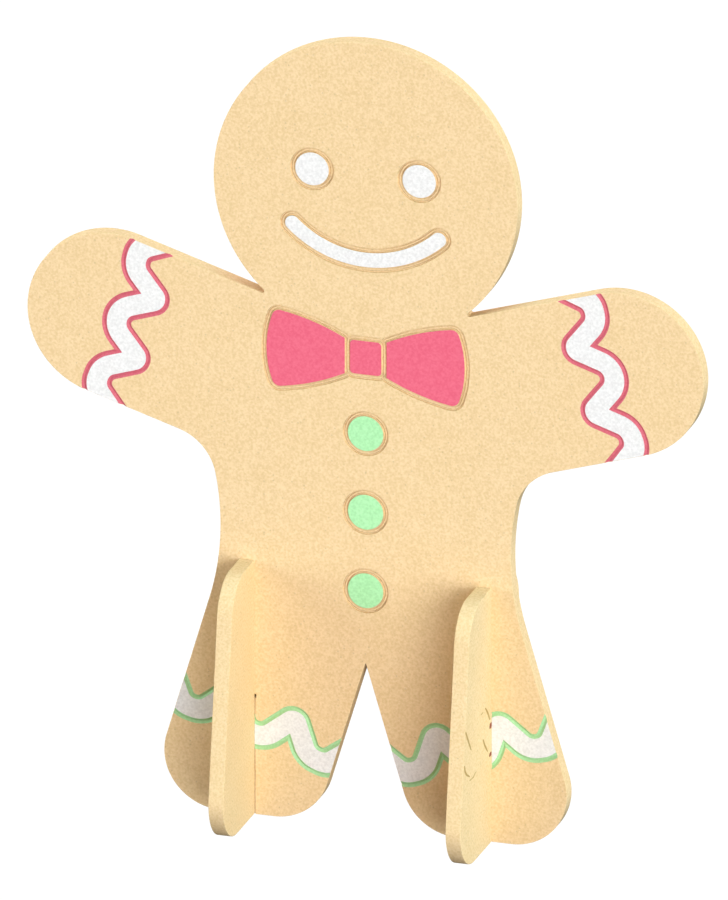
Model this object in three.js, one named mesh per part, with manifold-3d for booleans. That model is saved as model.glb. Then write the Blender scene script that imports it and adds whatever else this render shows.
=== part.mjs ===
// Stand-up gingerbread man: a flat biscuit figure held upright by two cross panels, its feet.
// Each foot panel is notched from its top and each leg is notched from below, and the two
// half-lap together. The icing lies flush in shallow pockets of the front face.
// Millimetres, +Z up. The figure faces -Y; X = 0 is its middle, Y = 0 the middle of the dough
// sheet and Z = 0 the table. "left" is the -X side.
import * as THREE from "three";
import { mergeVertices } from "three/addons/utils/BufferGeometryUtils.js";
import Module from "manifold-3d";

// The dough sheet that all three panels are cut from
const doughThickness = 3.8;
const edgeSoftness = 0.3; // rounding along every cut edge
const lapClearance = 0.3; // play in the half-lap joints
const chordError = 0.04; // how far a facet may cut inside a true arc

// The figure's outline: circles that its arcs lie on
const headRadius = 38;
const headHeight = 162.6;
const neckCreaseRadius = 0.5;
const armRadius = 20.85;
const armTilt = 17.06; // degrees up from level
const armEnd = { x: 63.7, z: 123.35 };
const armpitRadius = 13.3;
const waistRadius = 66.5;
const waistHalfWidth = 36.3;
const waistHeight = 73.15;
const legCornerRadius = 13.9;
const legOuterCornerX = 36.45;
const legInnerCornerX = 22.9;
const crotchRadius = 0.1;
const crotchCentreHeight = 41.7;

// The foot panels, seen from the side
const footX = 29.65;
const footHeight = 64.9;
const footHalfDepthBelow = 28; // to the straight leaning sides, carried down to the table
const footHalfDepthAbove = 18.2; // and carried up to the top
const footTopCornerRadius = 9.8;
const footLowCornerRadius = 10.9;
const lapHeight = 30; // where leg notch and foot notch meet

// Icing laid flush in the face, each piece in a pocket with a shallow channel pressed round it
const icingThickness = 0.6;
const icingGap = 0.1;
const channelWidth = 1.15;
const channelDepth = 0.42;
const channelDraft = 0.08; // how far the channel's outer side leans out, up to the face
const pocketDepth = icingThickness + icingGap;

const eyeRadius = 4.25;
const eyeX = 13.4;
const eyeHeight = 166.8;
const mouthCentreHeight = 171.8;
const mouthRadius = 26.66;
const mouthHalfWidth = 1.92;
const mouthEndAngle = 43.3; // degrees either side of straight down
const buttonRadius = 4.5;
const spotSides = 36;
const buttonHeights = { top: 100.65, middle: 80.55, bottom: 60.45 };

const bowHeight = 120.03;
const knotHalfWidth = 4;
const knotHalfHeight = 4.35;
const knotCornerRadius = 1.1;
const wingInnerX = 5.15;
const wingTipX = 24.85;
const wingTipRadius = 25.6; // the bowed outer edge
const wingTopRadius = 54; // the bowed top and bottom edges
const wingTopCentre = { x: 29.6, below: 43.58 };
const wingCornerRadius = 2;
const wingInnerCornerRadius = 0.3;

// The zigzag icing across each limb: a rounded zigzag and its parallel curve
const zigzagPeriod = 16.34;
const zigzagFlank = 35.2; // degrees between a flank and the limb
const zigzagOuterBend = 1.77; // radius of the bends that point to the hand or foot
const zigzagInnerBend = 4; // radius of the bends that point to the body
const zigzagBends = 3; // bends carried past the middle one on each side
const zigzagEndLean = 0.11; // how far the outermost flanks run on outwards, per mm across the limb
const bandWidth = 6.08;
const lineHalfWidth = 0.6;
const lineGrooveDepth = 0.4;
const armZigzagMiddle = { x: 54.81, z: 120.82 };
const legZigzagMiddle = { x: 25.52, z: 27.73 };
const legZigzagTilt = 17.35; // degrees out from straight down
const tightBendSteps = 5;
const wideBendSteps = 8;
const wideBendFrom = 5; // radius from which a bend takes the finer steps

// What each piece is made of: colour and roughness
const biscuit = { color: 0xfbddab, roughness: 0.85, metalness: 0 };
const footBiscuit = { color: 0xfde0ad, roughness: 0.85, metalness: 0 };
const whiteIcing = { color: 0xfbfaf8, roughness: 0.5, metalness: 0 };
const pinkIcing = { color: 0xfa708c, roughness: 0.5, metalness: 0 };
const greenIcing = { color: 0xbaf9b9, roughness: 0.5, metalness: 0 };
const pinkLine = { color: 0xe06478, roughness: 0.55, metalness: 0 };
const greenLine = { color: 0xa8eb9e, roughness: 0.55, metalness: 0 };

const wasm = await Module();
wasm.setup();

const frontY = -doughThickness / 2;
const beyond = 10; // how far a cutter runs past what it cuts
const samePoint = 1e-4;
const radians = (degrees) => (degrees * Math.PI) / 180;
const vector = (x, z) => new THREE.Vector2(x, z);
const alongAngle = (angle) => vector(Math.cos(angle), Math.sin(angle));

// A path runs clockwise round circles with signed radii: positive where the material is inside
// the circle, negative where the circle bites into the material. Growing the shape by "grow"
// adds it to every signed radius, which leaves the tangent directions alone.
const disc = (x, z, radius) => ({ centre: vector(x, z), radius });

// Direction of the normal shared by two circles that follow each other in a path
function sharedNormal(a, b) {
  const between = b.centre.clone().sub(a.centre);
  const ratio = (a.radius - b.radius) / between.length();
  return between.angle() + Math.acos(THREE.MathUtils.clamp(ratio, -1, 1));
}

// The stretch of one circle between two normals, in steps that keep the chord error
function arcPoints(circle, fromNormal, toNormal, grow) {
  const wayRound = circle.radius > 0 ? -1 : 1;
  let turn = ((toNormal - fromNormal) * wayRound) % (2 * Math.PI);
  if (turn < 0) turn += 2 * Math.PI;
  const step = 2 * Math.acos(1 - chordError / Math.max(Math.abs(circle.radius), 4 * chordError));
  const steps = Math.max(1, Math.ceil(turn / step));
  const points = [];
  for (let i = 0; i <= steps; i++) {
    const normal = fromNormal + (wayRound * turn * i) / steps;
    points.push(circle.centre.clone().addScaledVector(alongAngle(normal), circle.radius + grow));
  }
  return points;
}

function closedPath(circles, grow = 0) {
  const points = [];
  circles.forEach((circle, i) => {
    const before = circles[(i + circles.length - 1) % circles.length];
    const after = circles[(i + 1) % circles.length];
    points.push(...arcPoints(circle, sharedNormal(before, circle), sharedNormal(circle, after), grow));
  });
  return withoutRepeats(points);
}

function withoutRepeats(points) {
  return points.filter((p, i) => p.distanceTo(points[(i + points.length - 1) % points.length]) > samePoint);
}

// Centre of a circle that lies at given distances from two points, to the left of a -> b
function centreAt(a, distanceA, b, distanceB) {
  const between = b.clone().sub(a);
  const span = between.length();
  const along = (distanceA ** 2 - distanceB ** 2 + span ** 2) / (2 * span);
  const across = Math.sqrt(Math.max(distanceA ** 2 - along ** 2, 0));
  const direction = between.normalize();
  return a
    .clone()
    .addScaledVector(direction, along)
    .add(vector(-direction.y, direction.x).multiplyScalar(across));
}

// Right half of the figure from the crown to the crotch, mirrored to make the whole
function figureOutline(grow = 0) {
  const head = disc(0, headHeight, headRadius);
  const arm = disc(armEnd.x, armEnd.z, armRadius);
  const waist = disc(waistHalfWidth + waistRadius, waistHeight, -waistRadius);
  const armAlong = alongAngle(radians(armTilt));
  const armUp = vector(-armAlong.y, armAlong.x);

  // the neck crease touches the head and the upper edge of the arm
  const aboveHead = arm.centre.dot(armUp) + armRadius + neckCreaseRadius - head.centre.dot(armUp);
  const neckAlong = Math.sqrt((headRadius + neckCreaseRadius) ** 2 - aboveHead ** 2);
  const neckCentre = head.centre
    .clone()
    .addScaledVector(armUp, aboveHead)
    .addScaledVector(armAlong, neckAlong);
  const neck = { centre: neckCentre, radius: -neckCreaseRadius };

  // the armpit touches the lower edge of the arm and runs on into the waist
  const belowWaist = waist.centre.dot(armUp) - (arm.centre.dot(armUp) - armRadius - armpitRadius);
  const armpitAlong = Math.sqrt((waistRadius - armpitRadius) ** 2 - belowWaist ** 2);
  const armpitCentre = waist.centre
    .clone()
    .addScaledVector(armUp, -belowWaist)
    .addScaledVector(armAlong, -armpitAlong);
  const armpit = { centre: armpitCentre, radius: -armpitRadius };

  const legOuter = disc(legOuterCornerX, legCornerRadius, legCornerRadius);
  const legInner = disc(legInnerCornerX, legCornerRadius, legCornerRadius);
  const crotch = disc(0, crotchCentreHeight, -crotchRadius);
  const circles = [head, neck, arm, armpit, waist, legOuter, legInner, crotch];

  const right = [];
  circles.forEach((circle, i) => {
    const from = i === 0 ? Math.PI / 2 : sharedNormal(circles[i - 1], circle);
    const to = i === circles.length - 1 ? -Math.PI / 2 : sharedNormal(circle, circles[i + 1]);
    right.push(...arcPoints(circle, from, to, grow));
  });
  const left = right.map((p) => vector(-p.x, p.y)).reverse();
  return withoutRepeats([...right, ...left]);
}

// A foot seen from the side: a trapezoid with round corners
function footOutline() {
  const lean = Math.atan2(footHalfDepthBelow - footHalfDepthAbove, footHeight);
  const corner = (side, z, radius) => {
    const sideAt = footHalfDepthBelow - z * Math.tan(lean);
    return disc(side * (sideAt - radius / Math.cos(lean)), z, radius);
  };
  const top = (side) => corner(side, footHeight - footTopCornerRadius, footTopCornerRadius);
  const low = (side) => corner(side, footLowCornerRadius, footLowCornerRadius);
  return closedPath([top(-1), top(1), low(1), low(-1)]);
}

// A round spot of icing
const roundSpot = (x, z, radius) => (grow) => {
  const points = [];
  for (let i = 0; i < spotSides; i++) {
    const angle = (-2 * Math.PI * i) / spotSides;
    points.push(vector(x, z).addScaledVector(alongAngle(angle), radius + grow));
  }
  return points;
};

// One smile: an arc with round ends
function smilePath(grow) {
  const end = (side) => {
    const down = alongAngle(radians(-90 + side * mouthEndAngle));
    return disc(down.x * mouthRadius, mouthCentreHeight + down.y * mouthRadius, mouthHalfWidth);
  };
  const under = disc(0, mouthCentreHeight, mouthRadius + mouthHalfWidth);
  const over = disc(0, mouthCentreHeight, mouthHalfWidth - mouthRadius);
  return closedPath([end(-1), over, end(1), under], grow);
}

const knotPath = (grow) => {
  const x = knotHalfWidth - knotCornerRadius;
  const z = knotHalfHeight - knotCornerRadius;
  const corner = (sideX, sideZ) => disc(sideX * x, bowHeight + sideZ * z, knotCornerRadius);
  return closedPath([corner(-1, 1), corner(1, 1), corner(1, -1), corner(-1, -1)], grow);
};

// One wing of the bow, a fan that widens from the knot; every edge but the inner one is bowed
const wingPath = (side) => (grow) => {
  const topArc = disc(wingTopCentre.x, bowHeight - wingTopCentre.below, wingTopRadius);
  const tipArc = disc(wingTipX - wingTipRadius, bowHeight, wingTipRadius);
  const cornerCentre = centreAt(
    tipArc.centre,
    wingTipRadius - wingCornerRadius,
    topArc.centre,
    wingTopRadius - wingCornerRadius,
  );
  const corner = { centre: cornerCentre, radius: wingCornerRadius };
  const innerX = wingInnerX + wingInnerCornerRadius;
  const reach = wingTopRadius - wingInnerCornerRadius;
  const innerZ = topArc.centre.y + Math.sqrt(reach ** 2 - (innerX - topArc.centre.x) ** 2);
  const inner = disc(innerX, innerZ, wingInnerCornerRadius);
  const below = (circle) => disc(circle.centre.x, 2 * bowHeight - circle.centre.y, circle.radius);
  const circles = [inner, topArc, corner, tipArc, below(corner), below(topArc), below(inner)];
  const path = closedPath(circles, grow);
  return side > 0 ? path : path.map((p) => vector(-p.x, p.y)).reverse();
};

// The parallel curve at "offset" from the zigzag nearest the body, across a limb. Local axes:
// x runs along the limb to its end, y across it. Bends that are offset past their centre
// become sharp cusps, and past the second bend the flanks lean on outwards a little.
function zigzagCurve(offset) {
  const flank = radians(zigzagFlank);
  const quarter = zigzagPeriod / 4;
  const middle = offset / Math.sin(flank);
  const points = [];
  const addPoint = (x, y) => {
    const past = Math.max(Math.abs(y) - zigzagPeriod, 0);
    points.push(vector(x + zigzagEndLean * past, y));
  };
  for (let i = -zigzagBends; i <= zigzagBends; i++) {
    const outward = i % 2 === 0 ? 1 : -1;
    const y = (i * zigzagPeriod) / 2;
    const tip = middle + outward * quarter * (1 / Math.tan(flank));
    const radius = outward > 0 ? zigzagOuterBend + offset : Math.max(zigzagInnerBend - offset, 0);
    const centre = tip - (outward * radius) / Math.sin(flank);
    const sweep = Math.PI / 2 - flank;
    if (radius === 0) {
      addPoint(tip, y);
      continue;
    }
    const steps = radius > wideBendFrom ? wideBendSteps : tightBendSteps;
    for (let k = 0; k <= steps; k++) {
      const angle = sweep * ((2 * k) / steps - 1);
      addPoint(centre + outward * radius * Math.cos(angle), y + radius * Math.sin(angle));
    }
  }
  return points;
}

// A closed BufferGeometry as a manifold solid, its shared vertices merged
function solidOf(geometry) {
  const bare = geometry.index ? geometry.toNonIndexed() : geometry.clone();
  bare.deleteAttribute("normal");
  bare.deleteAttribute("uv");
  const merged = mergeVertices(bare, samePoint);
  return new wasm.Manifold(
    new wasm.Mesh({
      numProp: 3,
      vertProperties: merged.attributes.position.array,
      triVerts: new Uint32Array(merged.index.array),
    }),
  );
}

function geometryOf(solid) {
  const mesh = solid.getMesh();
  const geometry = new THREE.BufferGeometry();
  geometry.setAttribute("position", new THREE.BufferAttribute(mesh.vertProperties, 3));
  geometry.setIndex(new THREE.BufferAttribute(mesh.triVerts, 1));
  geometry.computeVertexNormals();
  return geometry;
}

// A panel cut from the dough sheet, its outline in X and Z and its sheet centred on Y = 0
function doughPanel(outline) {
  const geometry = new THREE.ExtrudeGeometry(new THREE.Shape(outline), {
    depth: doughThickness - 2 * edgeSoftness,
    bevelEnabled: true,
    bevelThickness: edgeSoftness,
    bevelSize: edgeSoftness,
    bevelOffset: -edgeSoftness,
    bevelSegments: 2,
    steps: 1,
  });
  geometry.translate(0, 0, edgeSoftness - doughThickness / 2);
  geometry.rotateX(Math.PI / 2);
  return geometry;
}

// A straight prism over an outline, between two depths below the front face
function prism(outline, fromDepth, toDepth) {
  const geometry = new THREE.ExtrudeGeometry(new THREE.Shape(outline), {
    depth: toDepth - fromDepth,
    bevelEnabled: false,
  });
  geometry.rotateX(Math.PI / 2);
  geometry.translate(0, frontY + toDepth, 0);
  return solidOf(geometry);
}

// Skins a row of rings, each a closed list of 3-D points, into one closed solid. The caps are
// triangles of ring positions that close the first ring and the last.
function skin(rings, caps) {
  const size = rings[0].length;
  const positions = rings.flat().flatMap((p) => [p.x, p.y, p.z]);
  const index = [];
  for (let r = 0; r < rings.length - 1; r++) {
    for (let i = 0; i < size; i++) {
      const a = r * size + i;
      const b = r * size + ((i + 1) % size);
      index.push(a, b, b + size, a, b + size, a + size);
    }
  }
  const last = (rings.length - 1) * size;
  for (const cap of caps) {
    const [a, b, c] = [...cap].sort((p, q) => p - q);
    index.push(a, c, b, last + a, last + b, last + c);
  }
  const geometry = new THREE.BufferGeometry();
  geometry.setAttribute("position", new THREE.Float32BufferAttribute(positions, 3));
  geometry.setIndex(index);
  const solid = solidOf(geometry);
  return solid.volume() >= 0 ? solid : solidOf(turnedInsideOut(geometry));
}

function turnedInsideOut(geometry) {
  const index = geometry.index.array;
  const flipped = [];
  for (let i = 0; i < index.length; i += 3) {
    flipped.push(index[i], index[i + 2], index[i + 1]);
  }
  const turned = geometry.clone();
  turned.setIndex(flipped);
  return turned;
}

// A plug whose outline grows and shrinks with its depth below the face
function plug(path, levels) {
  const rings = levels.map(({ depth, grow }) =>
    path(grow).map((p) => new THREE.Vector3(p.x, frontY + depth, p.y)),
  );
  return skin(rings, THREE.ShapeUtils.triangulateShape(path(0), []));
}

// What a piece of icing takes out of the biscuit: down the channel's outer side, in along its
// floor, and straight down into the pocket
const pocketFor = (path) =>
  plug(path, [
    { depth: -channelDepth, grow: channelWidth + channelDraft },
    { depth: 0, grow: channelWidth },
    { depth: channelDepth, grow: channelWidth - channelDraft },
    { depth: channelDepth, grow: icingGap },
    { depth: pocketDepth, grow: icingGap },
  ]);
const icingFor = (path) =>
  plug(path, [
    { depth: 0, grow: 0 },
    { depth: icingThickness, grow: 0 },
  ]);

// Places a limb's local axes in the figure: x towards the hand or foot, y across
const limbPlace = (middle, direction) => (p) => {
  const along = alongAngle(direction);
  return vector(middle.x + p.x * along.x - p.y * along.y, middle.z + p.x * along.y + p.y * along.x);
};

const mirrored = (place) => (p) => {
  const q = place(p);
  return vector(-q.x, q.y);
};

// The strip between two parallel curves, as a prism
function strip(place, fromOffset, toOffset, fromDepth, toDepth) {
  const near = zigzagCurve(fromOffset).map(place);
  const far = zigzagCurve(toOffset).map(place);
  return prism([...near, ...far.reverse()], fromDepth, toDepth);
}

// A coloured line: a ribbon with a V groove along its top
function groovedLine(place, offset) {
  const half = lineHalfWidth - icingGap / 2;
  const section = [
    { across: -half, depth: 0 },
    { across: 0, depth: lineGrooveDepth },
    { across: half, depth: 0 },
    { across: half, depth: icingThickness },
    { across: -half, depth: icingThickness },
  ];
  const edges = section.map(({ across, depth }) =>
    zigzagCurve(offset + across)
      .map(place)
      .map((p) => new THREE.Vector3(p.x, frontY + depth, p.y)),
  );
  const rings = edges[0].map((_, i) => edges.map((edge) => edge[i]));
  return skin(rings, [[0, 1, 4], [1, 3, 4], [1, 2, 3]]);
}

// The largest loose piece of a solid, of those that a test lets through
function largestPiece(solid, wanted = () => true) {
  const pieces = solid.decompose().filter(wanted);
  return pieces.reduce((best, piece) => (piece.volume() > best.volume() ? piece : best));
}

// Everything the icing on one limb needs: its trench in the biscuit and its three pieces
function limbIcing(place) {
  const edge = lineHalfWidth + icingGap / 2;
  return {
    trench: strip(place, -edge, bandWidth + edge, -beyond, pocketDepth),
    band: strip(place, lineHalfWidth, bandWidth - lineHalfWidth, 0, icingThickness),
    bodyLine: groovedLine(place, 0),
    endLine: groovedLine(place, bandWidth),
  };
}

const gingerbread = new THREE.Group();

function addNode(name, geometry, look) {
  const mesh = new THREE.Mesh(geometry, new THREE.MeshStandardMaterial(look));
  mesh.name = name;
  gingerbread.add(mesh);
  return mesh;
}

const sideName = (side) => (side < 0 ? "left" : "right");
const sides = [-1, 1];

// The flat part of the front face, inside the rounded edge: icing stops here
const icedArea = prism(figureOutline(-edgeSoftness), -beyond, doughThickness / 2);

// A block that cuts the way of one panel through another, with its play, from below to a top
function panelWay(x, bottom, top) {
  const width = doughThickness + 2 * lapClearance;
  const block = new THREE.BoxGeometry(width, doughThickness + beyond, top - bottom);
  block.translate(x, 0, (bottom + top) / 2);
  return solidOf(block);
}

const spots = [
  ...sides.map((side) => ({
    name: `eye_${sideName(side)}`,
    path: roundSpot(side * eyeX, eyeHeight, eyeRadius),
    look: whiteIcing,
  })),
  { name: "mouth", path: smilePath, look: whiteIcing },
  ...sides.map((side) => ({ name: `bow_wing_${sideName(side)}`, path: wingPath(side), look: pinkIcing })),
  { name: "bow_knot", path: knotPath, look: pinkIcing },
  ...Object.entries(buttonHeights).map(([which, height]) => ({
    name: `button_${which}`,
    path: roundSpot(0, height, buttonRadius),
    look: greenIcing,
  })),
];

let figure = solidOf(doughPanel(figureOutline()));
for (const { path } of spots) {
  figure = figure.subtract(pocketFor(path));
}

// Arms: the zigzag lies square across the arm
const rightArm = limbPlace(armZigzagMiddle, radians(armTilt));
for (const side of sides) {
  const icing = limbIcing(side > 0 ? rightArm : mirrored(rightArm));
  figure = figure.subtract(icing.trench.intersect(icedArea));
  const piece = (solid) => geometryOf(largestPiece(solid.intersect(icedArea)));
  addNode(`arm_band_${sideName(side)}`, piece(icing.band), whiteIcing);
  addNode(`arm_line_shoulder_${sideName(side)}`, piece(icing.bodyLine), pinkLine);
  addNode(`arm_line_hand_${sideName(side)}`, piece(icing.endLine), pinkLine);
}

// Legs: the foot panel interrupts the zigzag, so each piece comes in an outer and an inner part
const rightLeg = limbPlace(legZigzagMiddle, radians(legZigzagTilt - 90));
const legPieces = [
  { part: "band", label: "band", look: whiteIcing },
  { part: "bodyLine", label: "line_upper", look: greenLine },
  { part: "endLine", label: "line_lower", look: greenLine },
];
const isOuter = (solid) => {
  const box = solid.boundingBox();
  return Math.abs(box.min[0] + box.max[0]) / 2 > footX;
};
for (const side of sides) {
  const icing = limbIcing(side > 0 ? rightLeg : mirrored(rightLeg));
  const area = icedArea.subtract(panelWay(side * footX, -beyond, footHeight));
  figure = figure.subtract(icing.trench.intersect(area));
  figure = figure.subtract(panelWay(side * footX, -beyond, lapHeight + lapClearance));
  for (const { part, label, look } of legPieces) {
    const loose = icing[part].intersect(area);
    const inner = largestPiece(loose, (solid) => !isOuter(solid));
    const outer = largestPiece(loose, isOuter);
    addNode(`leg_${label}_inner_${sideName(side)}`, geometryOf(inner), look);
    addNode(`leg_${label}_outer_${sideName(side)}`, geometryOf(outer), look);
  }
}

addNode("body", geometryOf(figure), biscuit);
for (const { name, path, look } of spots) {
  addNode(name, geometryOf(icingFor(path)), look);
}

// Feet: panels at right angles to the figure, notched from the top to take the leg
const footPanel = solidOf(doughPanel(footOutline())).subtract(panelWay(0, lapHeight, footHeight + beyond));
for (const side of sides) {
  const foot = addNode(`foot_${sideName(side)}`, geometryOf(footPanel), footBiscuit);
  foot.rotation.z = Math.PI / 2;
  foot.position.x = side * footX;
}

export default gingerbread;
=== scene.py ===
import math

import bmesh
import bpy
import numpy as np
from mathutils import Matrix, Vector


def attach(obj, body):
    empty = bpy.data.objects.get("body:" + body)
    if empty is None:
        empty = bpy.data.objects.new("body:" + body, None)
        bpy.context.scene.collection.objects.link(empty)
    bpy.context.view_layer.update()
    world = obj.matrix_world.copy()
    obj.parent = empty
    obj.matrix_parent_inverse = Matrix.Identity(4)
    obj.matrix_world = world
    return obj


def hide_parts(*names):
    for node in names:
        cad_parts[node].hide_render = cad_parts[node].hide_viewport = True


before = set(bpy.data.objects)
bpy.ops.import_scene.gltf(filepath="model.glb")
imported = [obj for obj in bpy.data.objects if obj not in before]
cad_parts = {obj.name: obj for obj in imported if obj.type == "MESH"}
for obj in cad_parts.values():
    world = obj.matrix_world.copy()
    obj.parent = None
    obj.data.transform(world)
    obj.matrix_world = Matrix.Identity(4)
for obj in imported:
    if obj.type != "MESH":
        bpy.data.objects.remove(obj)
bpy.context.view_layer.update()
mm = 0.001
halfDough = 1.9  # the iced face is at y = -1.9
aboveFace = -0.6  # depth at which a cutter starts, clear above the iced face
boxReach, boxTop = 9, 90  # how far plain cutter boxes run past the panels, and up
quarterTurn = np.radians(np.linspace(0, 90, 5))  # the steps of a rounded edge
mergeWithin = 2e-7  # metres
print("frame loaded:", len(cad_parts), "nodes")


# A path is three arrays: circle centres, signed radii and the angle of the outward normal.
# The point at a given growth is centre + (radius + growth) * (cos angle, sin angle), so one
# path gives every line parallel to it. A negative radius is a bend that bites into the dough.

def sharedNormal(a, b):
    # angle of the normal that two circles share: left of a -> b by acos((ra - rb) / distance)
    dx, dz = b[0] - a[0], b[1] - a[1]
    ratio = (a[2] - b[2]) / math.hypot(dx, dz)
    return math.atan2(dz, dx) + math.acos(max(-1.0, min(1.0, ratio)))


def pathRound(circles, step, leastRadius=1.2, straightSteps=3, noTurn=1e-6):
    # clockwise round circles (x, z, signed radius): an arc on each, then a straight to the next.
    # A tight bend is stepped as if it had leastRadius, a straight in steps straightSteps as long
    centre, radius, angle = [], [], []
    for i, circle in enumerate(circles):
        after = circles[(i + 1) % len(circles)]
        start, end = sharedNormal(circles[i - 1], circle), sharedNormal(circle, after)
        way = -1 if circle[2] > 0 else 1
        turn = ((end - start) * way) % (2 * math.pi)
        turn = 0 if turn > 2 * math.pi - noTurn else turn
        count = max(2, math.ceil(turn * max(abs(circle[2]), leastRadius) / step) + 1)
        here, there = np.array(circle[:2], float), np.array(after[:2], float)
        centre.append(np.tile(here, (count, 1)))
        radius.append(np.full(count, float(circle[2])))
        angle.append(start + way * turn * np.linspace(0, 1, count))
        straight = there - here + (after[2] - circle[2]) * np.array([math.cos(end), math.sin(end)])
        share = np.linspace(0, 1, int(np.hypot(*straight) / (straightSteps * step)) + 2)[1:-1]
        centre.append(here + (there - here) * share[:, None])
        radius.append(circle[2] + (after[2] - circle[2]) * share)
        angle.append(np.full(len(share), end))
    return np.concatenate(centre), np.concatenate(radius), np.concatenate(angle)


def grown(path, growth):
    # the line parallel to a path: centre + (radius + growth) * normal
    centre, radius, angle = path
    return centre + (radius + growth)[:, None] * np.stack([np.cos(angle), np.sin(angle)], 1)


def mirroredCircles(circles):
    # the same circles on the other side: x changes sign, and their order turns round
    return [(-x, z, r) for x, z, r in circles[::-1]]


def inFace(line, depth):
    # points of the figure's plane at a depth below its iced face
    return np.stack([line[:, 0], np.full(len(line), depth - halfDough), line[:, 1]], 1)


def newPiece(name, points, faces):
    # an object at the origin with its place in its mesh, doubles merged and faces outwards
    mesh = bpy.data.meshes.new(name)
    mesh.from_pydata((np.asarray(points) * mm).tolist(), [], faces)
    work = bmesh.new()
    work.from_mesh(mesh)
    bmesh.ops.remove_doubles(work, verts=work.verts, dist=mergeWithin)
    bmesh.ops.recalc_face_normals(work, faces=work.faces)
    work.to_mesh(mesh)
    work.free()
    thing = bpy.data.objects.new(name, mesh)
    bpy.context.scene.collection.objects.link(thing)
    return thing


def skin(name, rings, joined=False):
    # closed solid over a row of equal closed rings: quads between neighbours, then a cap at each
    # end, or the last ring joined to the first
    rings = np.asarray(rings, float)
    rows, size = rings.shape[:2]
    i, j = np.meshgrid(np.arange(rows if joined else rows - 1), np.arange(size), indexing="ij")
    here, after = i * size, (i + 1) % rows * size
    faces = np.stack([here + j, here + (j + 1) % size, after + (j + 1) % size, after + j], -1)
    faces = faces.reshape(-1, 4).tolist()
    if not joined:
        faces.append(list(range(size))[::-1])
        faces.append(list(range((rows - 1) * size, rows * size)))
    return newPiece(name, rings.reshape(-1, 3), faces)


def block(name, low, high):
    # a plain box between two corners: a cutter, or the floor
    corners = ((low[0], low[1]), (high[0], low[1]), (high[0], high[1]), (low[0], high[1]))
    return skin(name, [[(x, y, z) for x, y in corners] for z in (low[2], high[2])])


def carve(target, cutter, operation="DIFFERENCE"):
    # one Boolean at a time, its result kept as the target's mesh and the cutter thrown away
    modifier = target.modifiers.new("carve", "BOOLEAN")
    modifier.operation = operation
    modifier.solver = "MANIFOLD"
    modifier.object = cutter
    bpy.context.view_layer.update()
    solved = target.evaluated_get(bpy.context.evaluated_depsgraph_get())
    result = bpy.data.meshes.new_from_object(solved)
    target.modifiers.clear()
    before, spent = target.data, cutter.data
    target.data = result
    bpy.data.objects.remove(cutter)
    bpy.data.meshes.remove(before)
    bpy.data.meshes.remove(spent)
    return target


def markSharp(mesh, sharpFrom=28.0, flatFrom=0.99999):
    # smooth shading, but sharp where faces meet at more than the angle in degrees, and where a
    # face that squares with an axis ends
    normal = np.empty(len(mesh.polygons) * 3)
    mesh.polygons.foreach_get("normal", normal)
    normal = normal.reshape(-1, 3)
    corners = np.empty(len(mesh.polygons), int)
    mesh.polygons.foreach_get("loop_total", corners)
    edge = np.empty(len(mesh.loops), int)
    mesh.loops.foreach_get("edge_index", edge)
    face = np.repeat(np.arange(len(corners)), corners)
    order = np.argsort(edge, kind="stable")
    edge, face = edge[order], face[order]
    a = face[np.searchsorted(edge, np.arange(len(mesh.edges)), "left")]
    b = face[np.searchsorted(edge, np.arange(len(mesh.edges)), "right") - 1]
    bend = np.degrees(np.arccos(np.clip((normal[a] * normal[b]).sum(1), -1, 1)))
    flat = np.abs(normal).max(1) > flatFrom
    mesh.polygons.foreach_set("use_smooth", np.ones(len(corners), bool))
    mark = mesh.attributes.get("sharp_edge") or mesh.attributes.new("sharp_edge", "BOOLEAN", "EDGE")
    mark.data.foreach_set("value", (bend > sharpFrom) | (flat[a] != flat[b]))
    mesh.update()


def direction(azimuth, elevation):
    # unit vector towards a place so many degrees round from the front, towards +X, and so many
    # up: (sin a cos e, -cos a cos e, sin e)
    a, e = math.radians(azimuth), math.radians(elevation)
    return Vector((math.sin(a) * math.cos(e), -math.cos(a) * math.cos(e), math.sin(e)))


# degrees, then millimetres (the height is the render's 900 rows at 4.2 to each), then metres
view = {"azimuth": 17.8, "elevation": 21.5, "aim": (-0.985, 0.0, 95.66), "height": 900 / 4.2,
        "distance": 1.2, "farthest": 20}


def makeCamera():
    # a parallel view from distance away, turned back to the aim
    back = direction(view["azimuth"], view["elevation"])
    camera = bpy.data.objects.new("camera", bpy.data.cameras.new("camera"))
    camera.data.type = "ORTHO"
    camera.data.ortho_scale = view["height"] * mm
    camera.data.clip_end = view["farthest"]
    camera.location = Vector(view["aim"]) * mm + back * view["distance"]
    camera.rotation_euler = back.to_track_quat("Z", "Y").to_euler()
    bpy.context.scene.collection.objects.link(camera)
    bpy.context.scene.camera = camera


lights = {
    # degrees round from the front (towards +X), degrees up, width of the soft light in degrees
    "keyRight": {"round": 36.9, "up": 4.4, "width": 37, "strength": 0.80, "colour": (1.0, 0.99, 1.0)},
    "fillLeft": {"round": -70, "up": 8, "width": 34, "strength": 0.67, "colour": (0.82, 0.97, 1.0)},
    "backLeft": {"round": 214.5, "up": 67.3, "width": 88, "strength": 0.75, "colour": (1.0, 0.75, 0.71)},
    "sideRight": {"round": 81.4, "up": 4.2, "width": 96, "strength": 0.64, "colour": (0.78, 0.94, 1.0)},
    "top": {"round": 0, "up": 88, "width": 22, "strength": 0.34, "colour": (0.24, 0.82, 1.0)},
    "rear": {"round": 180, "up": 4, "width": 24, "strength": 0.6, "colour": (1.0, 0.98, 0.95)},
    "fromTable": {"round": -29, "up": -15, "width": 46, "strength": 0.11, "colour": (1.0, 0.52, 0.49)},
}
lampDistance = 2  # metres; only for show, as a sun lights alike from anywhere


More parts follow.
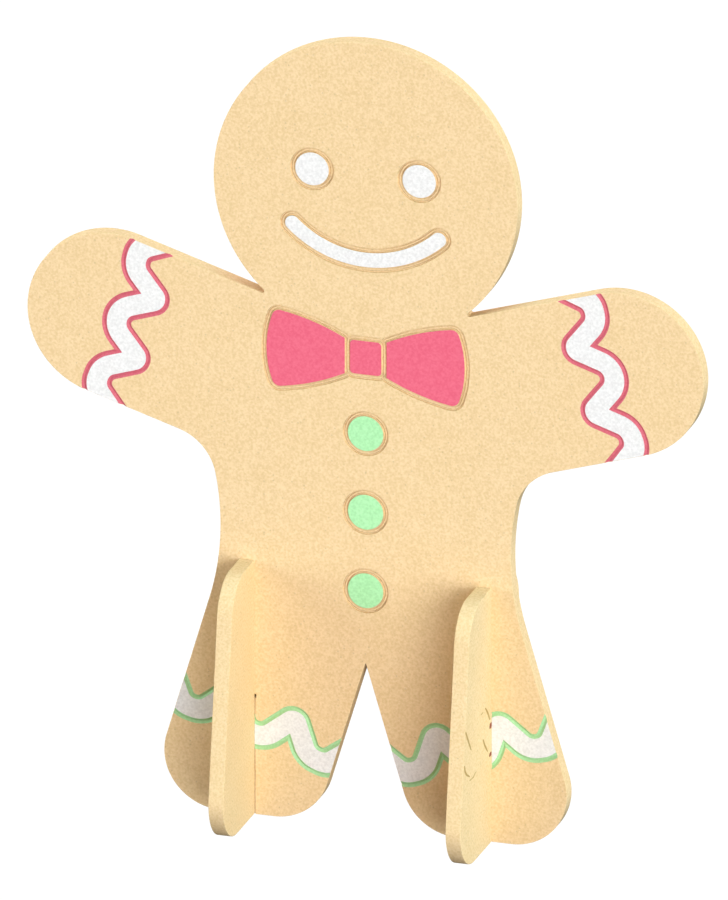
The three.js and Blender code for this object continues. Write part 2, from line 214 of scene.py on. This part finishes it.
def makeLight(name, light):
    # a sun lamp that shines from its direction; the wider it is, the softer its shadows
    toward = direction(light["round"], light["up"])
    lamp = bpy.data.objects.new(name, bpy.data.lights.new(name, "SUN"))
    lamp.data.angle = math.radians(light["width"])
    lamp.data.energy = light["strength"] * math.pi
    lamp.data.color = light["colour"]
    lamp.location = toward * lampDistance
    lamp.rotation_euler = toward.to_track_quat("Z", "Y").to_euler()
    bpy.context.scene.collection.objects.link(lamp)


# reach in millimetres, angles in degrees
sweep = {"reach": 6000.0, "floorDepth": 1, "glow": 1.05,
         "turn": 10, "lowest": -8, "highest": 88, "rows": 13}


def makeSweep():
    # a white floor, and a white dome round it, which show behind the part but don't light it.
    # dome: reach * (cos a cos e, sin a cos e, sin e) over all a, and over e from under the floor up
    material = bpy.data.materials.new("whiteSweep")
    material.use_nodes = True
    tree = material.node_tree
    tree.nodes.clear()
    glow = tree.nodes.new("ShaderNodeEmission")
    glow.inputs["Strength"].default_value = sweep["glow"]
    out = tree.nodes.new("ShaderNodeOutputMaterial")
    tree.links.new(glow.outputs[0], out.inputs["Surface"])
    rise = np.linspace(sweep["lowest"], sweep["highest"], sweep["rows"])
    a, e = np.meshgrid(np.radians(np.arange(0, 360, sweep["turn"])), np.radians(rise))
    reach = sweep["reach"]
    rings = reach * np.stack([np.cos(a) * np.cos(e), np.sin(a) * np.cos(e), np.sin(e)], -1)
    floor = block("floor", (-reach, -reach, -sweep["floorDepth"]), (reach, reach, 0))
    for thing in (skin("backdrop", rings), floor):
        thing.data.materials.append(material)
        thing.visible_diffuse = thing.visible_glossy = thing.visible_shadow = False


makeCamera()
for lampName, lamp in lights.items():
    makeLight(lampName, lamp)
makeSweep()
bpy.context.scene.view_settings.view_transform = "Standard"
print("camera, floor and light set")


def addNode(tree, kind, settings=(), **inputs):
    # a node with its properties and its unlinked inputs set
    node = tree.nodes.new(kind)
    for key, value in dict(settings).items():
        setattr(node, key, value)
    for key, value in inputs.items():
        node.inputs[key].default_value = value
    return node


def join(tree, source, output, target, socket):
    # a link from one named socket to another
    tree.links.new(source.outputs[output], target.inputs[socket])


def linear(rgb, share=1.0):
    # a colour given as sRGB 0-255, as the linear colour a shader takes, darkened by a share
    c = np.array(rgb, float) / 255
    c = np.where(c <= 0.04045, c / 12.92, ((c + 0.055) / 1.055) ** 2.4) * share
    return (c[0], c[1], c[2], 1.0)


def toneOf(tree, source, output, low, high, atLow=0.3, atHigh=0.7):
    # turns a 0-1 pattern into a colour factor between two linear tones
    ramp = addNode(tree, "ShaderNodeValToRGB")
    for element, at, tone in zip(ramp.color_ramp.elements, (atLow, atHigh), (low, high)):
        element.position = at
        element.color = (*tone, 1.0)
    join(tree, source, output, ramp, "Fac")
    return ramp


def blend(tree, how, first, second, amount=1.0):
    # a colour mix; first and second are colours or nodes with a colour output, amount may be a node
    mix = addNode(tree, "ShaderNodeMix", {"data_type": "RGBA", "blend_type": how})
    for value, index in ((amount, 0), (first, 6), (second, 7)):
        if isinstance(value, bpy.types.Node):
            live = [out for out in value.outputs if out.enabled]
            tree.links.new(live[0], mix.inputs[index])
        else:
            mix.inputs[index].default_value = value
    return mix


def startMaterial(name, roughness, specular):
    # a material with its gloss set, and what the rest builds on: nodes, shader and coordinates
    material = bpy.data.materials.new(name)
    material.use_nodes = True
    tree = material.node_tree
    shader = tree.nodes["Principled BSDF"]
    shader.inputs["Roughness"].default_value = roughness
    shader.inputs["Specular IOR Level"].default_value = specular
    return material, tree, shader, addNode(tree, "ShaderNodeTexCoord")


def noise(tree, place, scale, detail=1.0):
    # a cloudy pattern, scale clouds to the metre
    node = addNode(tree, "ShaderNodeTexNoise", {"noise_dimensions": "3D"},
                   Scale=scale, Detail=detail)
    join(tree, place, "Object", node, "Vector")
    return node


def specks(tree, place, scale, share, strength, core, reach):
    # scattered spots in the chosen share of the cells: full strength up to core from a cell's
    # middle, fading to nothing at reach
    cells = addNode(tree, "ShaderNodeTexVoronoi", {"voronoi_dimensions": "3D", "feature": "F1"},
                    Scale=scale)
    join(tree, place, "Object", cells, "Vector")
    split = addNode(tree, "ShaderNodeSeparateColor")
    join(tree, cells, "Color", split, "Color")
    chosen = addNode(tree, "ShaderNodeMath", {"operation": "LESS_THAN"})
    chosen.inputs[1].default_value = share
    join(tree, split, "Red", chosen, 0)
    near = addNode(tree, "ShaderNodeMapRange", {"clamp": True})
    for key, value in (("From Min", core), ("From Max", reach), ("To Min", strength), ("To Max", 0.0)):
        near.inputs[key].default_value = value
    join(tree, cells, "Distance", near, "Value")
    amount = addNode(tree, "ShaderNodeMath", {"operation": "MULTIPLY"})
    join(tree, chosen, 0, amount, 0)
    join(tree, near, "Result", amount, 1)
    return amount


def bumpFrom(tree, shader, source, output, strength, height):
    # tilts the shading, by the share strength, as if a 0-1 pattern stood up to height metres tall
    bump = addNode(tree, "ShaderNodeBump", Strength=strength, Distance=height)
    join(tree, source, output, bump, "Height")
    join(tree, bump, "Normal", shader, "Normal")


def grainTones(colour, amount):
    # darkest and palest tone of a grain that shifts red, green and blue alike to the eye
    swing = amount * (255 / np.array(colour, float)) ** 2
    return 1 - swing, 1 + swing


# colours as sRGB 0-255, scales in cells to the metre, bump height in metres
biscuit = {"face": (240, 210, 162), "feet": (239, 210, 161), "roughness": 0.85, "specular": 0.1,
           "sandScale": 1800.0, "sand": 0.056, "bump": 0.15, "bumpHeight": 0.0003,
           "patchScale": 130.0, "patchDetail": 2.0, "patch": 0.02, "patchTint": (1, 0.995, 0.97),
           "patchFrom": 0.35, "patchTo": 0.65,
           "speckScale": 1300.0, "speckShare": 0.08, "speck": 0.5, "speckCore": 0.1,
           "speckReach": 0.36, "speckShade": 0.62}


def biscuitMaterial(name, colour):
    # baked dough: sandy grain, faint paler and browner patches, and scattered darker crumbs
    material, tree, shader, place = startMaterial(name, biscuit["roughness"], biscuit["specular"])
    sand = noise(tree, place, biscuit["sandScale"])
    sandTone = toneOf(tree, sand, "Fac", *grainTones(colour, biscuit["sand"]))
    patch = noise(tree, place, biscuit["patchScale"], biscuit["patchDetail"])
    low = [(1 - biscuit["patch"]) * tint for tint in biscuit["patchTint"]]
    patchTone = toneOf(tree, patch, "Fac", low, (1, 1, 1), biscuit["patchFrom"], biscuit["patchTo"])
    grainy = blend(tree, "MULTIPLY", blend(tree, "MULTIPLY", linear(colour), sandTone), patchTone)
    crumbs = specks(tree, place, biscuit["speckScale"], biscuit["speckShare"], biscuit["speck"],
                    biscuit["speckCore"], biscuit["speckReach"])
    speckled = blend(tree, "MIX", grainy, linear(colour, biscuit["speckShade"]), crumbs)
    # the attribute multiplies in painted shade on edges that look down or up and in holes and cracks,
    # and the pits' scorched colour
    shadeAndStains = addNode(tree, "ShaderNodeAttribute", {"attribute_name": "shadeAndStains"})
    shadedAndStained = blend(tree, "MULTIPLY", speckled, shadeAndStains)
    tree.links.new(shadedAndStained.outputs[2], shader.inputs["Base Color"])
    bumpFrom(tree, shader, sand, "Fac", biscuit["bump"], biscuit["bumpHeight"])
    return material


icing = {"grainScale": 1800.0, "bump": 0.15, "bumpHeight": 0.0002, "roughness": 0.55, "specular": 0.15}


def icingMaterial(name, colour, grain):
    # set icing: an even colour with a fine sugary grain, a soft sheen and a slightly uneven skin
    material, tree, shader, place = startMaterial(name, icing["roughness"], icing["specular"])
    sugar = noise(tree, place, icing["grainScale"])
    tone = toneOf(tree, sugar, "Fac", *grainTones(colour, grain))
    coloured = blend(tree, "MULTIPLY", linear(colour), tone)
    tree.links.new(coloured.outputs[2], shader.inputs["Base Color"])
    bumpFrom(tree, shader, sugar, "Fac", icing["bump"], icing["bumpHeight"])
    return material


# painted shade on a panel's edge: below where it looks down, no further than limit, and top, in
# red, green and blue, where it looks up
edgeShade = {"figure": {"below": 1.1, "limit": 0.38, "top": (0.033, 0.05, 0.08)},
         "foot": {"below": 0.42, "limit": 1.0, "top": (0, 0, 0)},
         "edgeUnder": 0.8, "topRamp": 4}


def paintShadeAndStains(thing, across, panelShade, shadeAndStainBoxes=()):
    # painted shade on each edge face against plain dough: 1 - below * min(-nz, limit) where it looks
    # down and 1 - top * min(topRamp * nz, 1) where it looks up, and a colour of its own for what each
    # given box holds: painted shade in holes and cracks, a scorched colour in the pits. A face is on
    # the edge if |n| across the panel is under edgeUnder.
    mesh = thing.data
    normal, centre = np.empty(len(mesh.polygons) * 3), np.empty(len(mesh.polygons) * 3)
    mesh.polygons.foreach_get("normal", normal)
    mesh.polygons.foreach_get("center", centre)
    normal, centre = normal.reshape(-1, 3), centre.reshape(-1, 3) / mm
    onEdge = np.abs(normal[:, across]) < edgeShade["edgeUnder"]
    down = np.clip(-normal[:, 2], 0, panelShade["limit"])[:, None]
    up = np.clip(edgeShade["topRamp"] * normal[:, 2], 0, 1)[:, None]
    tone = 1 - onEdge[:, None] * (panelShade["below"] * down + up * np.array(panelShade["top"]))
    for low, high, colour in shadeAndStainBoxes:
        inside = ((centre > low) & (centre < high)).all(1)
        tone[inside] = colour
    mark = mesh.attributes.new("shadeAndStains", "FLOAT_VECTOR", "FACE")
    mark.data.foreach_set("vector", tone.ravel())


finishes = {
    "biscuit": biscuitMaterial("bakedDough", biscuit["face"]),
    "foot_biscuit": biscuitMaterial("bakedDoughFeet", biscuit["feet"]),
    "white_icing": icingMaterial("whiteIcing", (239, 238, 235), 0.067),
    "pink_icing": icingMaterial("pinkIcing", (237, 108, 132), 0.028),
    "green_icing": icingMaterial("greenIcing", (178, 239, 177), 0.058),
    "pink_line": icingMaterial("pinkLine", (217, 110, 124), 0.03),
    "green_line": icingMaterial("greenLine", (174, 220, 163), 0.04),
}


def finishPiece(thing, slot, *nodes):
    # shading and the material its colour slot names, then the body it rides on, and the nodes it
    # replaces hidden
    markSharp(thing.data)
    thing.data.materials.clear()
    thing.data.materials.append(finishes[slot])
    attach(thing, "root")
    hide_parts(*nodes)


print("materials ready")


sides = {"left": -1, "right": 1}  # left is the -X side

# circles are (x, z, radius), with a negative radius where a bend bites into the dough
figure = {
    "head": (0, 162.6, 38.0),
    "neckCrease": 0.5,
    "arm": (63.7, 123.35, 20.85), "armTilt": 17.06,
    "armpit": 13.3,
    "waist": (102.8, 73.15, -66.5),
    "legOuter": (36.45, 13.9, 13.9), "legInner": (22.9, 13.9, 13.9),
    "crotch": (0, 41.7, -0.1),
    "softness": 0.12, "step": 0.55,
}


def figureCircles():
    # the whole outline from one half: head, crease, arm, armpit, waist, leg and crotch
    tilt = math.radians(figure["armTilt"])
    along = np.array([math.cos(tilt), math.sin(tilt)])
    up = np.array([-along[1], along[0]])
    head, arm, waist = (np.array(figure[key], float) for key in ("head", "arm", "waist"))
    crease, armpit = figure["neckCrease"], figure["armpit"]
    # the crease touches the head and the arm's upper edge
    rise = (arm[:2] - head[:2]) @ up + arm[2] + crease
    neck = head[:2] + up * rise + along * math.sqrt((head[2] + crease) ** 2 - rise ** 2)
    # the armpit touches the arm's lower edge and runs on into the waist
    drop = (waist[:2] - arm[:2]) @ up + arm[2] + armpit
    pit = waist[:2] - up * drop - along * math.sqrt((waist[2] + armpit) ** 2 - drop ** 2)
    right = [(neck[0], neck[1], -crease), figure["arm"], (pit[0], pit[1], -armpit), figure["waist"],
             figure["legOuter"], figure["legInner"]]
    return [figure["head"], *right, figure["crotch"], *mirroredCircles(right)]


outline = pathRound(figureCircles(), figure["step"])


def panel(name, path, softness):
    # a dough panel: the outline at depth d stands back from the full outline by the edge's
    # quarter circle, softness * (1 - sin t) at depth softness * (1 - cos t), front and back
    inset = softness * (1 - np.sin(quarterTurn))
    depth = softness * (1 - np.cos(quarterTurn))
    rings = [inFace(grown(path, -g), d) for g, d in zip(inset, depth)]
    rings += [inFace(grown(path, -g), 2 * halfDough - d) for g, d in zip(inset[::-1], depth[::-1])]
    return skin(name, rings)


def prism(name, path, growth, top, bottom):
    # the outline at one growth, carried straight from one depth to another
    return skin(name, [inFace(grown(path, growth), depth) for depth in (top, bottom)])


face = {"eyeRadius": 4.25, "eyeX": 13.4, "eyeHeight": 166.8, "smileHeight": 171.8, "smileRadius": 26.66,
        "smileHalf": 1.92, "smileEnd": 43.3, "step": 0.25}
buttons = {"radius": 4.5, "heights": {"top": 100.65, "middle": 80.55, "bottom": 60.45}}
bow = {"height": 120.03, "knotHalfWidth": 4.0, "knotHalfHeight": 4.35, "knotCorner": 1.1,
       "wingInner": 5.15, "wingTip": 24.85, "tipRadius": 25.6,
       "topRadius": 54.0, "topCentre": (29.6, 43.58),  # x, and how far below the bow's height
       "corner": 2.0, "innerCorner": 0.3, "wingStep": 0.25, "knotStep": 0.2}
# the groove's section is growth beyond the icing's edge, then depth: two creases and a low ridge
groove = {"section": ((1.24, 0.0), (1.2, 0.04), (1.13, 0.48), (0.93, 0.48), (0.75, 0.32),
                      (0.55, 0.28), (0.35, 0.38), (0.2, 0.5), (0.05, 0.5), (0.0, 0.0)),
          "rim": 0.05, "pocket": 0.6, "gap": 0.01, "icingSoftness": 0.1}


def discPath(x, z, radius, step=0.2):
    # one whole circle, clockwise
    count = int(2 * math.pi * radius / step)
    angle = -2 * math.pi * np.arange(count) / count
    return np.tile([float(x), float(z)], (count, 1)), np.full(count, radius), angle


def smilePath():
    # an arc of one width with round ends, smileEnd degrees to each side of straight down
    down = [math.radians(-90 + side * face["smileEnd"]) for side in (-1, 1)]
    radius, height, half = face["smileRadius"], face["smileHeight"], face["smileHalf"]
    left, right = ((radius * math.cos(d), height + radius * math.sin(d), half) for d in down)
    circles = [left, (0, height, half - radius), right, (0, height, half + radius)]
    return pathRound(circles, face["step"])


def knotPath():
    # a small upright rectangle with round corners
    r = bow["knotCorner"]
    x, z = bow["knotHalfWidth"] - r, bow["knotHalfHeight"] - r
    corners = [(a * x, bow["height"] + b * z, r) for a, b in ((-1, 1), (1, 1), (1, -1), (-1, -1))]
    return pathRound(corners, bow["knotStep"])


def wingPath(side):
    # a fan: bowed top and bottom, a bowed outer end and a short straight inner end
    topX, topZ = bow["topCentre"][0], bow["height"] - bow["topCentre"][1]
    tipX, tipZ = bow["wingTip"] - bow["tipRadius"], bow["height"]
    # the corner circle touches both big circles from inside
    fromTip, fromTop = bow["tipRadius"] - bow["corner"], bow["topRadius"] - bow["corner"]
    dx, dz = topX - tipX, topZ - tipZ
    span = math.hypot(dx, dz)
    along = (fromTip ** 2 - fromTop ** 2 + span ** 2) / (2 * span)
    across = math.sqrt(fromTip ** 2 - along ** 2)
    cornerX = tipX + (dx * along - dz * across) / span
    cornerZ = tipZ + (dz * along + dx * across) / span
    innerX = bow["wingInner"] + bow["innerCorner"]
    innerZ = topZ + math.sqrt((bow["topRadius"] - bow["innerCorner"]) ** 2 - (innerX - topX) ** 2)
    upper = [(innerX, innerZ, bow["innerCorner"]), (topX, topZ, bow["topRadius"]),
             (cornerX, cornerZ, bow["corner"])]
    lower = [(x, 2 * bow["height"] - z, r) for x, z, r in upper[::-1]]
    circles = [*upper, (tipX, tipZ, bow["tipRadius"]), *lower]
    return pathRound(circles if side > 0 else mirroredCircles(circles), bow["wingStep"])


spots = [
    ("eye_left", discPath(-face["eyeX"], face["eyeHeight"], face["eyeRadius"]), "white_icing"),
    ("eye_right", discPath(face["eyeX"], face["eyeHeight"], face["eyeRadius"]), "white_icing"),
    ("mouth", smilePath(), "white_icing"),
    ("bow_wing_left", wingPath(-1), "pink_icing"),
    ("bow_wing_right", wingPath(1), "pink_icing"),
    ("bow_knot", knotPath(), "pink_icing"),
]
spots += [("button_" + word, discPath(0, height, buttons["radius"]), "green_icing")
          for word, height in buttons["heights"].items()]


def grooveCutter(path):
    # the section carried round the path, closed above the face
    outer, inner = groove["section"][0][0], groove["section"][-1][0]
    section = [(outer, aboveFace), *groove["section"], (inner, aboveFace)]
    return skin("cutter", [inFace(grown(path, growth), depth) for growth, depth in section], joined=True)


def icingSlab(name, path):
    # flush icing: its outline carried down, with the upper edge eased by a quarter circle,
    # grown by softness * (sin t - 1) at depth softness * (1 - cos t)
    softness = groove["icingSoftness"]
    levels = [(softness * (1 - math.cos(t)), softness * (math.sin(t) - 1)) for t in quarterTurn]
    levels.append((groove["pocket"] - groove["gap"], 0.0))
    inset = groove["rim"] + groove["gap"]
    return skin(name, [inFace(grown(path, g - inset), d) for d, g in levels])


body = panel("biscuit_figure", outline, figure["softness"])
for name, path, slot in spots:
    carve(body, grooveCutter(path))
    carve(body, prism("cutter", path, -groove["rim"], aboveFace, groove["pocket"]))
    finishPiece(icingSlab(name + "_icing", path), slot, name)
print("face, bow and buttons iced:", len(body.data.polygons), "faces in the figure")


# flank is in degrees to the limb
zigzag = {
    "period": 16.34, "flank": 35.2, "outerBend": 1.77, "innerBend": 4.0, "bends": 3, "samples": 25,
    "endLean": 0.11, "bandWidth": 6.13, "lineHalf": 0.6, "trench": 0.5, "shoulder": -0.001,
    "rim": 0.07, "gap": 0.01,
    "keepDepth": 3,  # the limiting outline runs this far above and below the face
    "clearTop": 80,  # a foot's place in a leg is kept clear up to here
}
# where a zigzag crosses its limb, the limb's slope in degrees, how deep the lines' V goes, and
# whether the limb is slotted for a foot; outerEnd is an x past the leg's outer side
arm = {"middle": (54.81, 120.82), "turn": 17.06, "deep": 0.42, "slotted": False}
leg = {"middle": (25.52, 27.73), "turn": 17.35 - 90, "deep": 0.33, "slotted": True, "outerEnd": 60}
# seams are the play beside each foot, left and right; lap is where the two notches meet
foot = {"x": 29.65, "height": 64.9, "halfBelow": 28.0, "halfAbove": 18.2, "topCorner": 9.8,
        "lowCorner": 10.9, "softness": 0.25, "lap": 30.0, "seams": {-1: 0.19, 1: 0.04},
        "hold": 0.03, "step": 0.4}


def zigzagLine(offset):
    # bends joined by their tangents; offset by g, outward bends grow to r + g and inward bends
    # shrink to r - g, down to a cusp. x runs to the limb's end and y across the limb, and past
    # the second bend the flanks lean out by endLean * (|y| - period).
    flank = math.radians(zigzag["flank"])
    bend = np.arange(-zigzag["bends"], zigzag["bends"] + 1)
    way = np.where(bend % 2 == 0, 1.0, -1.0)
    innerBend = max(zigzag["innerBend"] - offset, 0.0)
    radius = np.where(bend % 2 == 0, zigzag["outerBend"] + offset, innerBend)
    tip = offset / math.sin(flank) + way * zigzag["period"] / 4 / math.tan(flank)
    centre = tip - way * radius / math.sin(flank)
    turn = np.linspace(-1, 1, zigzag["samples"]) * (math.pi / 2 - flank)
    x = centre[:, None] + way[:, None] * radius[:, None] * np.cos(turn)
    y = bend[:, None] * zigzag["period"] / 2 + radius[:, None] * np.sin(turn)
    x = x + zigzag["endLean"] * np.maximum(np.abs(y) - zigzag["period"], 0)
    return np.stack([x.ravel(), y.ravel()], 1)


def onLimb(points, limb, side):
    # from a limb's own axes to the figure's, mirrored for the left side:
    # middle + (x cos turn - y sin turn, x sin turn + y cos turn)
    turn, middle = math.radians(limb["turn"]), limb["middle"]
    c, s = math.cos(turn), math.sin(turn)
    x, y = points[:, 0], points[:, 1]
    return np.stack([side * (middle[0] + x * c - y * s), middle[1] + x * s + y * c], 1)


def ribbon(name, limb, side, section):
    # a section (offset, depth) carried along the zigzag's parallel curves
    rings = [inFace(onLimb(zigzagLine(offset), limb, side), depth) for offset, depth in section]
    return skin(name, np.stack(rings, 1))


def insideFigure(thing, limb, side, inset, clear):
    # keeps what lies inside the outline and, on a leg, outside the foot's thickness
    reach = zigzag["keepDepth"]
    carve(thing, prism("cutter", outline, -inset, -reach, reach), "INTERSECT")
    if limb["slotted"]:
        x, half, top = side * foot["x"], halfDough + clear, zigzag["clearTop"]
        carve(thing, block("cutter", (x - half, -boxReach, -boxReach), (x + half, boxReach, top)))
    return thing


def limbPieces(limb, side):
    # the trench and the two V grooves that leave through the panel's edge, then what fills them:
    # the band and its two lines, gap clear of everything
    half, wide, trench = zigzag["lineHalf"], zigzag["bandWidth"], zigzag["trench"]
    gap, rim, shoulder, deep = zigzag["gap"], zigzag["rim"], zigzag["shoulder"], limb["deep"]
    low, high = -half, wide + half
    trenchSection = [(low, aboveFace), (high, aboveFace), (high, trench), (low, trench)]
    cutter = ribbon("cutter", limb, side, trenchSection)
    carve(body, insideFigure(cutter, limb, side, rim, foot["hold"]))
    for offset in (0.0, wide):
        low, high = offset - half, offset + half
        veeSection = [(low, aboveFace), (high, aboveFace),
                      (high, shoulder), (offset, deep), (low, shoulder)]
        carve(body, ribbon("cutter", limb, side, veeSection))
    low, high, bottom = half + gap, wide - half - gap, trench - gap
    pieces = [ribbon("band", limb, side, [(low, 0), (high, 0), (high, bottom), (low, bottom)])]
    for offset in (0.0, wide):
        low, high = offset - half + gap, offset + half - gap
        section = [(low, 0.0), (offset, deep), (high, 0.0), (high, bottom), (low, bottom)]
        pieces.append(ribbon("line", limb, side, section))
    return [insideFigure(piece, limb, side, rim + gap, foot["hold"] + gap) for piece in pieces]


def halfOf(thing, name, low, high):
    # a copy of what lies between two planes across x
    copy = bpy.data.objects.new(name, thing.data.copy())
    bpy.context.scene.collection.objects.link(copy)
    lowCorner, highCorner = (min(low, high), -boxReach, -boxReach), (max(low, high), boxReach, boxTop)
    return carve(copy, block("cutter", lowCorner, highCorner), "INTERSECT")


for word, side in sides.items():
    labels = (("band", "white_icing"), ("line_shoulder", "pink_line"), ("line_hand", "pink_line"))
    for piece, (label, slot) in zip(limbPieces(arm, side), labels):
        node = f"arm_{label}_{word}"
        piece.name = piece.data.name = node + "_icing"
        finishPiece(piece, slot, node)
print("arms iced")

for word, side in sides.items():
    labels = (("band", "white_icing"), ("line_upper", "green_line"), ("line_lower", "green_line"))
    middle = side * foot["x"]
    for piece, (label, slot) in zip(limbPieces(leg, side), labels):
        for where, edge in (("inner", 0), ("outer", side * leg["outerEnd"])):
            node = f"leg_{label}_{where}_{word}"
            finishPiece(halfOf(piece, node + "_icing", middle, edge), slot, node)
        bpy.data.objects.remove(piece)
print("legs iced")

for side in sides.values():
    x, slotHalf = side * foot["x"], halfDough + foot["seams"][side]
    slotTop = foot["lap"] + foot["hold"]
    carve(body, block("cutter", (x - slotHalf, -boxReach, -boxReach), (x + slotHalf, boxReach, slotTop)))

# a small pit where the left leg's seam ends, darkened with painted shade: what is cut and what gets
# the painted shade, as boxes measured from the seam's top on the iced face
seamPit = {"cut": ((0, -boxReach, -0.2), (0.45, 0.7, 0.75)),
           "shadeBox": ((-0.1, 0.01, -0.3), (0.6, 0.9, 0.9)), "tone": (0.3, 0.22, 0.16)}
seamTop = np.array([halfDough - foot["x"], -halfDough, foot["lap"]])
carve(body, block("cutter", *(seamTop + seamPit["cut"])))
# painted shade on the figure's edges where they look down or up, and in the seam pit
paintShadeAndStains(body, 1, edgeShade["figure"], [(*(seamTop + seamPit["shadeBox"]), seamPit["tone"])])
finishPiece(body, "biscuit", "body")
print("figure done:", len(body.data.polygons), "faces")


def footPath():
    # a trapezoid with round corners, seen from the side: each corner circle stands
    # height * tan(lean) + radius / cos(lean) in from the foot of the leaning side
    lean = math.atan2(foot["halfBelow"] - foot["halfAbove"], foot["height"])
    top, low = foot["topCorner"], foot["lowCorner"]
    circles = []
    for height, radius, sides in ((foot["height"] - top, top, (-1, 1)), (low, low, (1, -1))):
        reach = foot["halfBelow"] - height * math.tan(lean) - radius / math.cos(lean)
        circles += [(side * reach, height, radius) for side in sides]
    return pathRound(circles, foot["step"])


# shallow cracks, darkened with painted shade, and two small scorched pits in the right foot's outer
# face: (y, z) along each. above is how far the cutter stands out of the face; the box of painted
# tone reaches from toneFrom to toneTo under it.
cracks = {
    "lines": [
        ((-6.86, 36.13), (-4.99, 34.23), (-3.2, 31.69)),
        ((-22.1, 35.7), (-20.88, 33.71), (-17.84, 29.42)),
        ((-8.65, 28.79), (-7.33, 26.76), (-4.99, 24.25)),
        ((-23.1, 27.4), (-22.6, 25.7), (-21.5, 24.5), (-19.01, 23.03)),
        ((-14.34, 22.6), (-16.2, 21.9), (-19.32, 22.1)),
        ((-8.42, 35.69), (-10.21, 35.52)),
    ],
    "pits": [((-2.65, 30.79), (-2.85, 29.37)), ((-2.85, 23.33), (-3.0, 22.29))],
    "lineHalf": 0.15, "pitHalf": 0.28, "stretch": 3.2, "depth": 0.1, "above": 0.2,
    "tapered": 0.45, "taper": 0.5, "samples": 13, "toneFrom": 0.002, "toneTo": 0.4,
    "crackShade": (0.62, 0.54, 0.36), "pitTone": (0.36, 0.14, 0.14),
}
outerFace = foot["x"] + halfDough


def crackCutter(points, half):
    # a V carried along a broken line. Its half width goes along n = (-tz, ty) of the line drawn
    # with y / stretch, so it is stretch times wider across y, and it tapers to both ends as
    # tapered + (1 - tapered) * sin(pi t) ** taper
    t, known = np.linspace(0, 1, cracks["samples"]), np.linspace(0, 1, len(points))
    line = np.stack([np.interp(t, known, axis) for axis in np.transpose(points)], 1)
    along = np.gradient(line / (cracks["stretch"], 1), axis=0)
    along /= np.linalg.norm(along, axis=1)[:, None]
    aside = np.stack([-along[:, 1] * cracks["stretch"], along[:, 0]], 1)
    bulge = np.sin(np.linspace(0, math.pi, cracks["samples"])) ** cracks["taper"]
    size = cracks["tapered"] + (1 - cracks["tapered"]) * bulge
    above, depth = cracks["above"], cracks["depth"]
    rows = []
    for out, share in ((above, -1), (above, 1), (0, 1), (-depth, 0), (0, -1)):
        place = line + aside * (half * share * size)[:, None]
        rows.append(np.stack([outerFace + out * size, place[:, 0], place[:, 1]], 1))
    return skin("cutter", np.stack(rows, 1))


def crackFoot(thing):
    # cuts the cracks and the pits, and gives back the boxes that hold their painted faces: painted shade
    # in the cracks, the scorched colour in the pits
    marks = [(line, cracks["lineHalf"], cracks["crackShade"]) for line in cracks["lines"]]
    marks += [(pit, cracks["pitHalf"], cracks["pitTone"]) for pit in cracks["pits"]]
    shadeAndStainBoxes = []
    for points, half, colour in marks:
        carve(thing, crackCutter(points, half))
        reach = half * cracks["stretch"]
        low, high = np.min(points, 0) - reach, np.max(points, 0) + reach
        inner, outer = outerFace - cracks["toneTo"], outerFace - cracks["toneFrom"]
        shadeAndStainBoxes.append(((inner, *low), (outer, *high), colour))
    return shadeAndStainBoxes


def makeFoot(word, side):
    # a panel notched from its top down to lap and stood across its leg; the right one has cracks
    thing = panel("biscuit_foot_" + word, footPath(), foot["softness"])
    reach = halfDough + foot["hold"]
    carve(thing, block("cutter", (-reach, -boxReach, foot["lap"]), (reach, boxReach, boxTop)))
    # a quarter turn puts the panel's thickness across the leg
    points = np.empty(len(thing.data.vertices) * 3)
    thing.data.vertices.foreach_get("co", points)
    points = points.reshape(-1, 3)
    turned = np.stack([-points[:, 1] + side * foot["x"] * mm, points[:, 0], points[:, 2]], 1)
    thing.data.vertices.foreach_set("co", turned.ravel())
    thing.data.update()
    shadeAndStainBoxes = crackFoot(thing) if side > 0 else ()
    # painted shade on the foot's downward edges and in its cracks, and the pits' scorched colour
    paintShadeAndStains(thing, 0, edgeShade["foot"], shadeAndStainBoxes)
    finishPiece(thing, "foot_biscuit", "foot_" + word)


for word, side in sides.items():
    makeFoot(word, side)
print("feet done")
